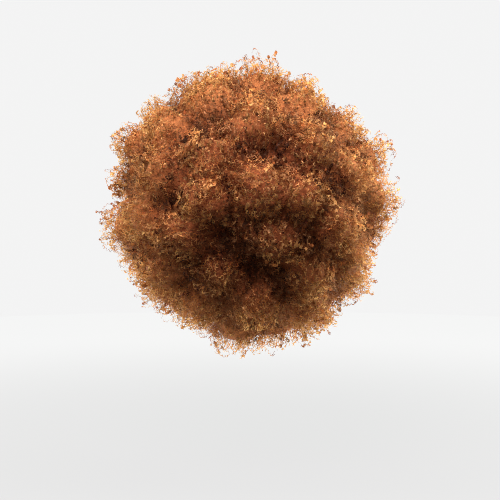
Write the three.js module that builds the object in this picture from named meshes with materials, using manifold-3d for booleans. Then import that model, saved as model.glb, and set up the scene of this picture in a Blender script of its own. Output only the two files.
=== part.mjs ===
// Drawstring ponytail: a round puff of tight curls, sewn to a small gathered net cap that is pulled over a
// bun of the wearer's own hair, drawn shut round its mouth with a cord and held by two combs.
//
// Millimetres, +Z up. The origin is the middle of the cap's mouth. The wearer's head is on the +Y side, and
// the puff stands out from it along -Y. A direction in the puff is read as on a clock face seen from the
// front: clock runs clockwise from the top, and offAxis is the angle from the puff's axis, both in degrees.

import * as THREE from "three";
import { mergeVertices } from "three/addons/utils/BufferGeometryUtils.js";
import Module from "manifold-3d";

// Puff: a ball round an equator that lies in front of the mouth, flattened at the back against the head.
const PUFF_RADIUS = 150;
const PUFF_FRONT = 148;
const EQUATOR_DEPTH = 96;
const PUFF_BACK = 96;
const CORE_SHARE = 0.88;
const CORE_SIDES = 18;
const CORE_ROWS = 12;
const HOLLOW_SIDES = 30;

// Locks: fat corkscrews of curls that grow out of the dense core, their sections winding round their line.
const LOCK_LENGTH = 76;
const LOCK_SIDES = 8;
const COIL_TURNS = 2.6;
const COIL_SHARE = 0.16;
const LOCK_FORM = [
  { along: 0, girth: 0.5 },
  { along: 0.48, girth: 0.95 },
  { along: 0.66, girth: 1 },
  { along: 0.82, girth: 0.9 },
  { along: 0.94, girth: 0.58 },
];

// The locks that show from the front. Rise is how far a tip stands out of the ball's own form.
const FRONT_LOCKS = [
  { clock: 30, offAxis: 11, rise: 3, girth: 66 },
  { clock: 76, offAxis: 27, rise: 2, girth: 62 },
  { clock: 320, offAxis: 31, rise: 3, girth: 66 },
  { clock: 276, offAxis: 22, rise: 1, girth: 58 },
  { clock: 247, offAxis: 38, rise: 1, girth: 58 },
  { clock: 205, offAxis: 38, rise: -5, girth: 58 },
  { clock: 138, offAxis: 24, rise: -5, girth: 66 },
  { clock: 4, offAxis: 43, rise: 3, girth: 66 },
  { clock: 42, offAxis: 42, rise: 2, girth: 62 },
  { clock: 103, offAxis: 45, rise: 3, girth: 62 },
  { clock: 140, offAxis: 48, rise: 0, girth: 60 },
  { clock: 174, offAxis: 55, rise: 0, girth: 60 },
  { clock: 206, offAxis: 65, rise: 0, girth: 60 },
  { clock: 233, offAxis: 62, rise: 2, girth: 62 },
  { clock: 262, offAxis: 58, rise: 2, girth: 62 },
  { clock: 290, offAxis: 50, rise: 2, girth: 62 },
  { clock: 312, offAxis: 63, rise: 2, girth: 58 },
  { clock: 340, offAxis: 66, rise: 2, girth: 60 },
  { clock: 27, offAxis: 66, rise: 0, girth: 58 },
  { clock: 72, offAxis: 56, rise: 1, girth: 62 },
  { clock: 118, offAxis: 67, rise: 1, girth: 58 },
  { clock: 152, offAxis: 73, rise: 2, girth: 58 },
];

// The locks round the equator, whose tips draw the puff's outline from the front.
const OUTLINE_LOCKS = [
  { clock: 5, offAxis: 84, rise: 1, girth: 64 },
  { clock: 27, offAxis: 96, rise: -9, girth: 54 },
  { clock: 51, offAxis: 80, rise: -3, girth: 58 },
  { clock: 67, offAxis: 94, rise: 8, girth: 56 },
  { clock: 86, offAxis: 80, rise: 6, girth: 60 },
  { clock: 100, offAxis: 97, rise: 1, girth: 54 },
  { clock: 127, offAxis: 94, rise: 6, girth: 58 },
  { clock: 147, offAxis: 98, rise: 8, girth: 58 },
  { clock: 166, offAxis: 92, rise: 5, girth: 54 },
  { clock: 185, offAxis: 84, rise: 7, girth: 66 },
  { clock: 206, offAxis: 96, rise: -1, girth: 60 },
  { clock: 225, offAxis: 86, rise: 0, girth: 58 },
  { clock: 243, offAxis: 97, rise: 6, girth: 58 },
  { clock: 259, offAxis: 84, rise: 8, girth: 56 },
  { clock: 281, offAxis: 95, rise: 0, girth: 60 },
  { clock: 298, offAxis: 82, rise: 11, girth: 52 },
  { clock: 314, offAxis: 96, rise: 8, girth: 54 },
  { clock: 330, offAxis: 84, rise: -3, girth: 54 },
  { clock: 346, offAxis: 98, rise: 6, girth: 56 },
];

// The rounds of locks behind the equator, even ones, down to the cap's mouth.
const BACK_ROUNDS = [
  { offAxis: 118, count: 13, girth: 68, rise: 1, start: 14 },
  { offAxis: 138, count: 10, girth: 60, rise: 0, start: 0 },
];

// The partings, where the curls fall away from each other and the front of the puff is hollow. Spread is the
// angle at which a parting has faded to about a third of its depth.
const PARTINGS = [
  { clock: 223, offAxis: 21, spread: 10, depth: 15 },
  { clock: 197, offAxis: 27, spread: 10, depth: 15 },
  { clock: 176, offAxis: 36, spread: 10, depth: 13 },
  { clock: 154, offAxis: 39, spread: 10, depth: 13 },
  { clock: 221, offAxis: 48, spread: 9, depth: 8 },
  { clock: 46, offAxis: 29, spread: 8, depth: 6 },
];

// Net cap: a thin dome of net, gathered in to the mouth. Depth runs from the mouth's plane into the puff.
const NET_WALL = 1.2;
const CAP_SIDES = 60;
const CAP_DOME = [
  { depth: 47, radius: 0 },
  { depth: 45.6, radius: 14 },
  { depth: 41.5, radius: 29 },
  { depth: 35, radius: 42.5 },
  { depth: 27, radius: 51 },
  { depth: 18, radius: 54.5 },
  { depth: 10, radius: 53 },
];
const GATHERS = CAP_SIDES / 2;
const GATHER_HEIGHT = 0.9;
const GATHER_DEPTH = 24;
const MOUTH_PULL = 0.55;

// Casing: a ruched band folded over the cord round the mouth, open at the bottom where the cord is tied.
const MOUTH_RADIUS = 50;
const CASING_HALF_WIDTH = 4.4;
const CASING_HALF_HEIGHT = 3.9;
const CASING_SIDES = 8;
const CHANNEL_RADIUS = 2.4;
const CHANNEL_SIDES = 6;
const CASING_GAP = 26;
const CASING_STEPS = 56;
const RUCHE_SHARE = 0.06;

// Drawstring: a round cord through the whole casing, tied across its gap with a barrel knot and cut short.
const CORD_RADIUS = 1.6;
const CORD_SIDES = 6;
const CORD_STEPS = 48;
const KNOT_WRAPS = 3;
const KNOT_PITCH = 2.3;
const KNOT_RADIUS = 2.2;
const KNOT_STEPS = 10;
const KNOT_TILT = 12;
const TAIL_ROUTE = [
  { side: 3, out: 0, down: 1 },
  { side: 5.5, out: 2.5, down: 4.5 },
  { side: 6, out: 4.5, down: 9 },
  { side: 5, out: 5.5, down: 13 },
];
const TAIL_STEPS = 5;

// Combs: one at the top of the mouth and one at the bottom, teeth along the inside of the cap.
const COMB_RADIUS = 48.4;
const COMB_SPREAD = 44;
const COMB_DEPTH = 10.5;
const COMB_SPINE_WIDTH = 4.6;
const COMB_SPINE_HEIGHT = 2.4;
const COMB_TEETH = 10;
const COMB_END = 2;
const TOOTH_LENGTH = 18;
const TOOTH_ROOT_RADIUS = 0.95;
const TOOTH_TIP_RADIUS = 0.5;
const TOOTH_SIDES = 6;
const TOOTH_LEAN = 15;

// Clear room between one piece and the next.
const GAP = 0.3;
const HAIR_GAP = 0.6;

// Corners closer than this are one corner.
const MERGE = 1e-4;

const wasm = await Module();
wasm.setup();

const radians = THREE.MathUtils.degToRad;
const WEARER = new THREE.Vector3(0, 1, 0);

// A closed geometry as a solid, without the triangles that shrink to nothing on an axis.
function solidOf(geometry) {
  const bare = geometry.index ? geometry.toNonIndexed() : geometry.clone();
  bare.deleteAttribute("normal");
  bare.deleteAttribute("uv");
  const merged = mergeVertices(bare, MERGE);
  const corners = merged.index.array;
  const kept = [];
  for (let i = 0; i < corners.length; i += 3) {
    const [a, b, c] = corners.subarray(i, i + 3);
    if (a !== b && b !== c && c !== a) kept.push(a, b, c);
  }
  const mesh = new wasm.Mesh({
    numProp: 3,
    vertProperties: merged.attributes.position.array,
    triVerts: new Uint32Array(kept),
  });
  return new wasm.Manifold(mesh);
}

// A solid as a geometry that a mesh can hold.
function geometryOf(solid) {
  const mesh = solid.getMesh();
  const geometry = new THREE.BufferGeometry();
  geometry.setAttribute("position", new THREE.BufferAttribute(mesh.vertProperties, 3));
  geometry.setIndex(new THREE.BufferAttribute(mesh.triVerts, 1));
  geometry.computeVertexNormals();
  return geometry;
}

function fused(solids) {
  return solids.reduce((whole, piece) => whole.add(piece));
}

// Moves every vertex of a geometry by a rule that takes and changes a Vector3.
function reshaped(geometry, rule) {
  const position = geometry.attributes.position;
  const point = new THREE.Vector3();
  for (let i = 0; i < position.count; i++) {
    point.fromBufferAttribute(position, i);
    rule(point);
    position.setXYZ(i, point.x, point.y, point.z);
  }
  return geometry;
}

// A solid turned round the puff's axis from rows of depth and radius, deepest first.
function turned(rows, sides) {
  const profile = rows.map(({ depth, radius }) => new THREE.Vector2(radius, -depth));
  return new THREE.LatheGeometry(profile, sides);
}

// Rows moved out square to their own line, in by a negative distance.
function offset(rows, distance) {
  return rows.map((row, i) => {
    const before = rows[Math.max(i - 1, 0)];
    const after = rows[Math.min(i + 1, rows.length - 1)];
    const line = new THREE.Vector2(after.radius - before.radius, after.depth - before.depth).normalize();
    const onAxis = row.radius === 0;
    return {
      depth: row.depth + distance * (onAxis ? 1 : line.x),
      radius: onAxis ? 0 : row.radius - distance * line.y,
    };
  });
}

// The arc round the mouth that the casing and the combs follow, from one clock reading to another.
class ClockArc extends THREE.Curve {
  constructor(radius, depth, from, to) {
    super();
    Object.assign(this, { radius, depth, from, to });
  }

  getPoint(t) {
    const angle = radians(THREE.MathUtils.lerp(this.from, this.to, t));
    return new THREE.Vector3(this.radius * Math.sin(angle), -this.depth, this.radius * Math.cos(angle));
  }
}

// An oval of straight sides. Once it is swept round the mouth, wide is along the puff's axis.
function oval(sides, halfWide, halfHigh) {
  return Array.from({ length: sides }, (_, i) => {
    const angle = ((i + 0.5) / sides) * 2 * Math.PI;
    return new THREE.Vector2(halfWide * Math.cos(angle), halfHigh * Math.sin(angle));
  });
}

function swept(shape, path, steps) {
  return new THREE.ExtrudeGeometry(shape, { extrudePath: path, steps, bevelEnabled: false });
}

function aim(clock, offAxis) {
  const turn = radians(clock);
  const lean = radians(offAxis);
  return new THREE.Vector3(
    Math.sin(lean) * Math.sin(turn),
    -Math.cos(lean),
    Math.sin(lean) * Math.cos(turn),
  );
}

// The ball's own radius in a direction: round in front of the equator, flattened behind it.
function ballReach(offAxis) {
  const lean = radians(offAxis);
  const axial = offAxis < 90 ? PUFF_FRONT : PUFF_BACK;
  return 1 / Math.hypot(Math.sin(lean) / PUFF_RADIUS, Math.cos(lean) / axial);
}

// Draws a point of the puff in towards the ball's middle, by as much as the partings near it are deep.
function partedIn(point) {
  const middle = new THREE.Vector3(0, -EQUATOR_DEPTH, 0);
  const spoke = point.clone().sub(middle);
  const depth = PARTINGS.reduce((sum, parting) => {
    const apart = THREE.MathUtils.radToDeg(spoke.angleTo(aim(parting.clock, parting.offAxis)));
    return sum + parting.depth * Math.exp(-((apart / parting.spread) ** 2));
  }, 0);
  point.copy(middle).addScaledVector(spoke, 1 - depth / PUFF_RADIUS);
}

// One lock: a corkscrew club whose root is buried in the core and whose tip is at its reach.
function lock({ clock, offAxis, rise, girth }) {
  const outline = [
    new THREE.Vector2(0, 0),
    ...LOCK_FORM.map((row) => new THREE.Vector2((row.girth * girth) / 2, row.along * LOCK_LENGTH)),
    new THREE.Vector2(0, LOCK_LENGTH),
  ];
  const club = reshaped(new THREE.LatheGeometry(outline, LOCK_SIDES), (point) => {
    const wind = (2 * Math.PI * COIL_TURNS * point.y) / LOCK_LENGTH + radians(clock);
    const sway = COIL_SHARE * Math.hypot(point.x, point.z);
    point.add(new THREE.Vector3(sway * Math.sin(wind), 0, sway * Math.cos(wind)));
  });
  const direction = aim(clock, offAxis);
  const root = ballReach(offAxis) + rise - LOCK_LENGTH;
  club.applyQuaternion(new THREE.Quaternion().setFromUnitVectors(WEARER, direction));
  club.translate(...direction.multiplyScalar(root).toArray());
  club.translate(0, -EQUATOR_DEPTH, 0);
  return solidOf(reshaped(club, partedIn));
}

function hairPuff() {
  const core = reshaped(new THREE.SphereGeometry(CORE_SHARE, CORE_SIDES, CORE_ROWS), (point) => {
    const axial = point.y < 0 ? PUFF_FRONT : PUFF_BACK;
    point.multiply(new THREE.Vector3(PUFF_RADIUS, axial, PUFF_RADIUS));
    point.y -= EQUATOR_DEPTH;
    partedIn(point);
  });
  const backLocks = BACK_ROUNDS.flatMap(({ count, start, ...row }) =>
    Array.from({ length: count }, (_, i) => ({ ...row, clock: start + (i * 360) / count })),
  );
  const locks = [...FRONT_LOCKS, ...OUTLINE_LOCKS, ...backLocks].map(lock);

  // The room inside: the cap's own dome with a clearance, then straight out past the casing and the knot.
  const room = offset(CAP_DOME, HAIR_GAP + GATHER_HEIGHT);
  const mouth = MOUTH_RADIUS + CASING_HALF_HEIGHT * (1 + RUCHE_SHARE) + KNOT_RADIUS;
  const hollow = turned(
    [
      ...room,
      { depth: CASING_HALF_WIDTH, radius: mouth },
      { depth: -PUFF_BACK, radius: mouth },
      { depth: -PUFF_BACK, radius: 0 },
    ],
    HOLLOW_SIDES,
  );
  return fused([solidOf(core), ...locks]).subtract(solidOf(hollow));
}

// The dome's rows closed off straight at a depth, as a solid with the gathers round its mouth.
function gatheredDome(rows, endDepth) {
  const last = rows.at(-1);
  const rim = { depth: endDepth, radius: last.radius - MOUTH_PULL * (last.depth - endDepth) };
  const dome = turned([...rows, rim, { depth: endDepth, radius: 0 }], CAP_SIDES);
  return solidOf(
    reshaped(dome, (point) => {
      const fade = THREE.MathUtils.clamp(1 + point.y / GATHER_DEPTH, 0, 1);
      const radius = Math.hypot(point.x, point.z);
      if (radius === 0) return;
      const ripple = 1 + (fade * GATHER_HEIGHT * Math.cos(GATHERS * Math.atan2(point.x, point.z))) / radius;
      point.set(point.x * ripple, point.y, point.z * ripple);
    }),
  );
}

function netCap() {
  const start = CASING_HALF_WIDTH * (1 + RUCHE_SHARE) + GAP;
  const outside = gatheredDome(CAP_DOME, start);
  const inside = gatheredDome(offset(CAP_DOME, -NET_WALL), start - GAP);
  return outside.subtract(inside);
}

function rimCasing() {
  const section = new THREE.Shape(oval(CASING_SIDES, CASING_HALF_WIDTH, CASING_HALF_HEIGHT));
  section.holes.push(new THREE.Path(oval(CHANNEL_SIDES, CHANNEL_RADIUS, CHANNEL_RADIUS)));
  const arc = new ClockArc(MOUTH_RADIUS, 0, 180 + CASING_GAP / 2, 540 - CASING_GAP / 2);
  const stepAngle = (360 - CASING_GAP) / CASING_STEPS;
  const band = reshaped(swept(section, arc, CASING_STEPS), (point) => {
    const clock = THREE.MathUtils.radToDeg(Math.atan2(point.x, point.z));
    const centre = new ClockArc(MOUTH_RADIUS, 0, clock, clock).getPoint(0);
    const spoke = point.clone().sub(centre);
    if (spoke.length() < CHANNEL_RADIUS + MERGE) return;
    const ruche = 1 + RUCHE_SHARE * Math.cos((Math.PI * clock) / stepAngle);
    point.copy(centre).addScaledVector(spoke, ruche);
  });
  return solidOf(band);
}

function drawstring() {
  const flat = new THREE.TorusGeometry(MOUTH_RADIUS, CORD_RADIUS, CORD_SIDES, CORD_STEPS);
  const loop = solidOf(flat.rotateX(Math.PI / 2));
  const bottom = -MOUTH_RADIUS;

  const wraps = Array.from({ length: KNOT_WRAPS }, (_, i) => {
    const wrap = new THREE.TorusGeometry(KNOT_RADIUS, CORD_RADIUS, CORD_SIDES, KNOT_STEPS);
    wrap.rotateY(Math.PI / 2 + radians(KNOT_TILT));
    wrap.translate((i - (KNOT_WRAPS - 1) / 2) * KNOT_PITCH, 0, bottom);
    return solidOf(wrap);
  });

  const tails = [-1, 1].map((hand) => {
    const route = TAIL_ROUTE.map(
      ({ side, out, down }) => new THREE.Vector3(hand * side, out, bottom - down),
    );
    const section = new THREE.Shape(oval(CORD_SIDES, CORD_RADIUS, CORD_RADIUS));
    return solidOf(swept(section, new THREE.CatmullRomCurve3(route), TAIL_STEPS));
  });
  return fused([loop, ...wraps, ...tails]);
}

function comb() {
  const half = COMB_SPREAD / 2;
  const bar = new THREE.Shape([
    new THREE.Vector2(-COMB_SPINE_WIDTH / 2, -COMB_SPINE_HEIGHT / 2),
    new THREE.Vector2(COMB_SPINE_WIDTH / 2, -COMB_SPINE_HEIGHT / 2),
    new THREE.Vector2(COMB_SPINE_WIDTH / 2, COMB_SPINE_HEIGHT / 2),
    new THREE.Vector2(-COMB_SPINE_WIDTH / 2, COMB_SPINE_HEIGHT / 2),
  ]);
  const spine = solidOf(swept(bar, new ClockArc(COMB_RADIUS, COMB_DEPTH, -half, half), COMB_TEETH));

  const toothPitch = (COMB_SPREAD - 2 * COMB_END) / (COMB_TEETH - 1);
  const teeth = Array.from({ length: COMB_TEETH }, (_, i) => {
    const radii = [TOOTH_ROOT_RADIUS, TOOTH_TIP_RADIUS];
    const tooth = new THREE.CylinderGeometry(...radii, TOOTH_LENGTH, TOOTH_SIDES);
    tooth.translate(0, -TOOTH_LENGTH / 2, 0);
    tooth.rotateX(radians(TOOTH_LEAN));
    tooth.translate(0, -COMB_DEPTH, COMB_RADIUS);
    tooth.rotateY(radians((i - (COMB_TEETH - 1) / 2) * toothPitch));
    return solidOf(tooth);
  });
  return fused([spine, ...teeth]);
}

const hair = new THREE.MeshStandardMaterial({ color: 0x8c4b23, roughness: 0.72, metalness: 0 });
const net = new THREE.MeshStandardMaterial({ color: 0x2e1c12, roughness: 0.85, metalness: 0 });
const band = new THREE.MeshStandardMaterial({ color: 0x38221a, roughness: 0.8, metalness: 0 });
const cord = new THREE.MeshStandardMaterial({ color: 0x241711, roughness: 0.75, metalness: 0 });
const plastic = new THREE.MeshStandardMaterial({ color: 0x3a1f12, roughness: 0.35, metalness: 0 });

function piece(name, solid, material) {
  const mesh = new THREE.Mesh(geometryOf(solid), material);
  mesh.name = name;
  return mesh;
}

const ponytail = new THREE.Group();
ponytail.add(piece("hair_puff", hairPuff(), hair));
ponytail.add(piece("net_cap", netCap(), net));
ponytail.add(piece("rim_casing", rimCasing(), band));
ponytail.add(piece("drawstring", drawstring(), cord));

const combSolid = comb();
const topComb = piece("comb_top", combSolid, plastic);
const bottomComb = piece("comb_bottom", combSolid, plastic);
bottomComb.rotation.y = Math.PI;
ponytail.add(topComb, bottomComb);

export default ponytail;
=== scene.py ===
import math

import bpy
import numpy as np
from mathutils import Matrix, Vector, noise
from mathutils.bvhtree import BVHTree


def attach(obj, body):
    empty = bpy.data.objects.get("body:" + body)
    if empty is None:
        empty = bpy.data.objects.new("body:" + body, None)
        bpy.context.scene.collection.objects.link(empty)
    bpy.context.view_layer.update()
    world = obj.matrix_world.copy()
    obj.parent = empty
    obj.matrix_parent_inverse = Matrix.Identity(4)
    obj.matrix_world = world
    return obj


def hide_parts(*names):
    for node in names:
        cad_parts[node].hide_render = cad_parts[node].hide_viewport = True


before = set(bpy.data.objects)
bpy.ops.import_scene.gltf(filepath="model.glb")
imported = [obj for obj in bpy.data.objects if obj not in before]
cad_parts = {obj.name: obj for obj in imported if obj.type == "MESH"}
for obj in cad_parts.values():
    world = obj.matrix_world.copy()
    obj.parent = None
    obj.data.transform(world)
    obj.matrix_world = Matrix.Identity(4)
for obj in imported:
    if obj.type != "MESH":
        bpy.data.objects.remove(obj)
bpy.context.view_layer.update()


# Camera: level with the middle of the puff and far enough off for a calm perspective.
# It looks a little below the puff, which stands above the middle of the picture.
PUFF_MIDDLE = Vector((0.0, -0.096, 0.0))
CAMERA_DISTANCE = 1.3
CAMERA_RISE = math.radians(1.0)
FRAME_WIDTH = 0.540
FRAME_PIXELS = 500
MIDDLE_PIXELS_UP = 45

camera_data = bpy.data.cameras.new("camera")
camera_data.sensor_width = 36.0
camera_data.lens = camera_data.sensor_width * CAMERA_DISTANCE / FRAME_WIDTH
camera = bpy.data.objects.new("camera", camera_data)
bpy.context.collection.objects.link(camera)
backwards = Vector((0.0, -math.cos(CAMERA_RISE), math.sin(CAMERA_RISE)))
camera.location = PUFF_MIDDLE + backwards * CAMERA_DISTANCE
look_down = CAMERA_RISE + math.atan(MIDDLE_PIXELS_UP / FRAME_PIXELS * FRAME_WIDTH / CAMERA_DISTANCE)
camera.rotation_euler = (math.pi / 2 - look_down, 0.0, 0.0)
bpy.context.scene.camera = camera


# Studio: a round pale floor, which throws back more light behind the part, and pale air that is brightest at
# the sides and behind, so that the rim of the curls glows. As the camera sees it, the floor glows with
# painted light, darker round the middle under the part as painted shade. A rosy soft light at the front and a
# paler one at the right give most of the shape, with faint ones above and at the left.
FLOOR_Z = -0.285
FLOOR_RADIUS = 1.5
FLOOR_SIDES = 96
FLOOR_PAINTED_GLOW = (0.715, 0.852)
FLOOR_BOUNCE = (0.4, 5.2)
AIR_GREY = 0.90
AIR_BRIGHT_WAY = (-0.05, 0.95, 0.30)
AIR_LIGHT = ((0.0, 0.18), (0.31, 0.24), (0.53, 2.6), (0.70, 3.0), (1.0, 1.2))
ROSY_AIR = (1.0, 0.88, 0.92)
CLEAR_AIR = (0.98, 1.05, 0.98)
AIR_TINTS = (ROSY_AIR, ROSY_AIR, CLEAR_AIR, CLEAR_AIR, CLEAR_AIR)


def array_object(name, points, faces, uv=None):
    """A smooth mesh object from arrays: all faces have the same number of corners, uv is one pair a point."""
    points, faces = np.asarray(points, np.float32), np.asarray(faces, np.int32)
    mesh = bpy.data.meshes.new(name)
    mesh.vertices.add(len(points))
    mesh.vertices.foreach_set("co", points.ravel())
    mesh.loops.add(faces.size)
    mesh.loops.foreach_set("vertex_index", faces.ravel())
    mesh.polygons.add(len(faces))
    mesh.polygons.foreach_set("loop_start", np.arange(0, faces.size, faces.shape[1], dtype=np.int32))
    mesh.update(calc_edges=True)
    if uv is not None:
        layer = mesh.uv_layers.new(name="OFBake")
        layer.data.foreach_set("uv", np.asarray(uv, np.float32)[faces.ravel()].ravel())
    mesh.shade_smooth()
    made = bpy.data.objects.new(name, mesh)
    bpy.context.collection.objects.link(made)
    return made


def new_material(name, **sockets):
    """A Principled material with plain values on its sockets."""
    material = bpy.data.materials.new(name)
    material.use_nodes = True
    shader = material.node_tree.nodes["Principled BSDF"]
    for socket, value in sockets.items():
        shader.inputs[socket.replace("_", " ")].default_value = value
    return material, shader


def node(material, kind, **values):
    """A new node in a material, with settings by name and input values by socket name."""
    made = material.node_tree.nodes.new("ShaderNode" + kind)
    for name, value in values.items():
        if hasattr(made, name):
            setattr(made, name, value)
        else:
            made.inputs[name.replace("_", " ")].default_value = value
    return made


def join(material, start, end):
    material.node_tree.links.new(start, end)


around = np.arange(FLOOR_SIDES) * 2 * math.pi / FLOOR_SIDES
floor_rim = np.stack([np.cos(around), np.sin(around), 0 * around], axis=-1) * FLOOR_RADIUS
floor_points = np.concatenate([[(0.0, 0.0, 0.0)], floor_rim]) + np.array((0.0, 0.0, FLOOR_Z))
floor_faces = [(0, 1 + k, 1 + (k + 1) % FLOOR_SIDES) for k in range(FLOOR_SIDES)]
floor = array_object("studio_floor", floor_points, floor_faces)
paper, paper_shader = new_material(
    "pale_paper", Base_Color=(0.03, 0.03, 0.03, 1.0), Roughness=0.9, Specular_IOR_Level=0.0
)
paper_shader.inputs["Emission Color"].default_value = (1.0, 1.0, 1.0, 1.0)
place = node(paper, "TexCoord")
from_middle = node(paper, "VectorMath", operation="LENGTH")
# Painted light: the floor glows as the camera sees it, darker round the middle under the part as painted
# shade.
painted_floor_glow = node(paper, "MapRange", interpolation_type="SMOOTHSTEP", From_Min=0.3, From_Max=1.1)
painted_floor_glow.inputs["To Min"].default_value, painted_floor_glow.inputs["To Max"].default_value = FLOOR_PAINTED_GLOW
join(paper, place.outputs["Object"], from_middle.inputs[0])
join(paper, from_middle.outputs["Value"], painted_floor_glow.inputs["Value"])
bounce = node(paper, "MapRange", interpolation_type="SMOOTHSTEP", From_Min=-0.3, From_Max=0.3)
bounce.inputs["To Min"].default_value, bounce.inputs["To Max"].default_value = FLOOR_BOUNCE
place_split = node(paper, "SeparateXYZ")
floor_seen = node(paper, "LightPath")
floor_level = node(paper, "Mix")
join(paper, place.outputs["Object"], place_split.inputs[0])
join(paper, place_split.outputs["Y"], bounce.inputs["Value"])
join(paper, floor_seen.outputs["Is Camera Ray"], floor_level.inputs["Factor"])
join(paper, bounce.outputs["Result"], floor_level.inputs["A"])
join(paper, painted_floor_glow.outputs["Result"], floor_level.inputs["B"])
join(paper, floor_level.outputs["Result"], paper_shader.inputs["Emission Strength"])
paper.cycles.emission_sampling = "NONE"
floor.data.materials.append(paper)


def soft_light(name, place, watts, colour, width=0.8):
    data = bpy.data.lights.new(name, "AREA")
    data.shape = "DISK"
    data.size = width
    data.energy = watts
    data.color = colour
    made = bpy.data.objects.new(name, data)
    made.location = place
    made.rotation_euler = (PUFF_MIDDLE - Vector(place)).to_track_quat("-Z", "Y").to_euler()
    bpy.context.collection.objects.link(made)


soft_light("top_light", (-0.15, 0.05, 1.15), 2.0, (1.0, 1.0, 1.0))
soft_light("front_light", (-0.2, -0.95, 0.8), 23.0, (1.0, 0.86, 0.92))
soft_light("left_light", (-1.1, 0.1, 0.0), 2.0, (1.0, 1.0, 1.0))
soft_light("right_light", (1.0, 0.1, 0.40), 14.0, (1.0, 1.0, 1.0))

air = bpy.data.worlds.new("studio_air")
air.use_nodes = True
air_way = node(air, "TexCoord")
brightness = node(air, "VectorMath", operation="DOT_PRODUCT")
brightness.inputs[1].default_value = AIR_BRIGHT_WAY
from_front = node(air, "MapRange", From_Min=-1.0)
air_ramp = node(air, "ValToRGB")
air_ramp.color_ramp.interpolation = "EASE"
for position, _ in AIR_LIGHT[1:-1]:
    air_ramp.color_ramp.elements.new(position)
for stop, (_, level), air_tint in zip(air_ramp.color_ramp.elements, AIR_LIGHT, AIR_TINTS):
    stop.color = (*(level * part for part in air_tint), 1.0)
seen = node(air, "LightPath")
air_level = node(air, "Mix", data_type="RGBA")
air_level.inputs["B"].default_value = (AIR_GREY, AIR_GREY, AIR_GREY, 1.0)
join(air, air_way.outputs["Generated"], brightness.inputs[0])
join(air, brightness.outputs["Value"], from_front.inputs["Value"])
join(air, from_front.outputs["Result"], air_ramp.inputs["Fac"])
join(air, seen.outputs["Is Camera Ray"], air_level.inputs["Factor"])
join(air, air_ramp.outputs["Color"], air_level.inputs["A"])
join(air, air_level.outputs["Result"], air.node_tree.nodes["Background"].inputs["Color"])
bpy.context.scene.world = air
bpy.context.scene.view_settings.view_transform = "Standard"
bpy.context.scene.cycles.denoising_prefilter = "NONE"
bpy.context.scene.cycles.filter_width = 1.0


# Net cap: the small stretchy dome that goes over the wearer's bun. It is knotted from fine dark brown nylon
# in a diamond net that runs from a woven patch at the crown to the mouth, where it is gathered into the
# casing.
MM = 0.001
CAP_DOME = (
    (47, 0), (45.6, 14), (41.5, 29), (35, 42.5), (27, 51), (18, 54.5), (10, 53), (5, 50.3), (2.5, 50)
)
GATHERS = 30
GATHER_HEIGHT = 0.9
GATHER_DEPTH = 24
NET_MIDDLE = -0.6
NET_THREADS = 64
NET_STEPS = 34
NET_HALF = (0.42, 0.28)
NET_OVER = 0.16
PATCH_SHARE = 0.16
PATCH_ROWS = 8
PATCH_SIDES = 48
PATCH_PINHOLE = 0.004
PATCH_OUT = (-0.15, -1.1)
PATCH_MAP = 40


def smooth_line(rows, count):
    """Points evenly spaced along a smooth curve through the rows."""
    rows = np.array(rows, float)
    ends = np.vstack([2 * rows[0] - rows[1], rows, 2 * rows[-1] - rows[-2]])
    spot = np.linspace(0, len(rows) - 1 - 1e-9, 40 * len(rows))
    first, part = spot.astype(int), (spot % 1)[:, None]
    a, b, c, d = (ends[first + k] for k in range(4))
    dense = b + 0.5 * part * (c - a + part * (2 * a - 5 * b + 4 * c - d + part * (3 * b - a - 3 * c + d)))
    run = np.concatenate([[0], np.cumsum(np.linalg.norm(np.diff(dense, axis=0), axis=1))])
    even = np.linspace(0, run[-1], count)
    return np.stack([np.interp(even, run, column) for column in dense.T], axis=-1)


def unit(vectors):
    return vectors / np.linalg.norm(vectors, axis=-1, keepdims=True)


dome_line = smooth_line(CAP_DOME, 120)
dome_share = np.linspace(0, 1, len(dome_line))
dome_run = np.gradient(dome_line, axis=0)
dome_out = unit(np.stack([dome_run[:, 1], -dome_run[:, 0]], axis=-1))
dome_length = np.linalg.norm(np.diff(dome_line, axis=0), axis=1).sum()


def on_dome(share, clock, out):
    """Points on the cap's dome: share from crown to mouth, clock in degrees, out in millimetres."""
    depth, radius = (
        np.interp(share, dome_share, dome_line[:, k]) + out * np.interp(share, dome_share, dome_out[:, k])
        for k in (0, 1)
    )
    fade = np.clip(1 - depth / GATHER_DEPTH, 0, 1)
    turned = np.radians(clock)
    radius = radius + fade * GATHER_HEIGHT * np.cos(GATHERS * turned)
    return MM * np.stack([radius * np.sin(turned), -depth, radius * np.cos(turned)], axis=-1)


def tubes(paths, faced, half_wide, half_high, sides, span=(0.002, 0.998)):
    """Points, quads and map of tubes along paths (tube, step, xyz), each one's height along its faced way."""
    count, steps = paths.shape[0], paths.shape[1]
    run = np.gradient(paths, axis=1)
    wide = unit(np.cross(run, faced))
    high = unit(np.cross(wide, run))
    angle = (np.arange(sides) + 0.5) * 2 * math.pi / sides
    half_wide, half_high = (np.broadcast_to(half, (count, steps, sides)) for half in (half_wide, half_high))
    points = paths[:, :, None] + (half_wide * np.cos(angle))[..., None] * wide[:, :, None]
    points = points + (half_high * np.sin(angle))[..., None] * high[:, :, None]
    corner = np.arange(count * steps * sides).reshape(count, steps, sides)
    before, after = corner[:, :-1], corner[:, 1:]
    quads = np.stack([before, after, np.roll(after, -1, 2), np.roll(before, -1, 2)], axis=-1).reshape(-1, 4)
    u = np.linspace(*span, steps)[None, :, None]
    v = 0.02 + 0.96 * np.abs(2 * np.arange(sides) / sides - 1)
    uv = np.stack(np.broadcast_arrays(u + 0 * corner, v), axis=-1)
    return points.reshape(-1, 3), quads, uv.reshape(-1, 2)


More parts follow.
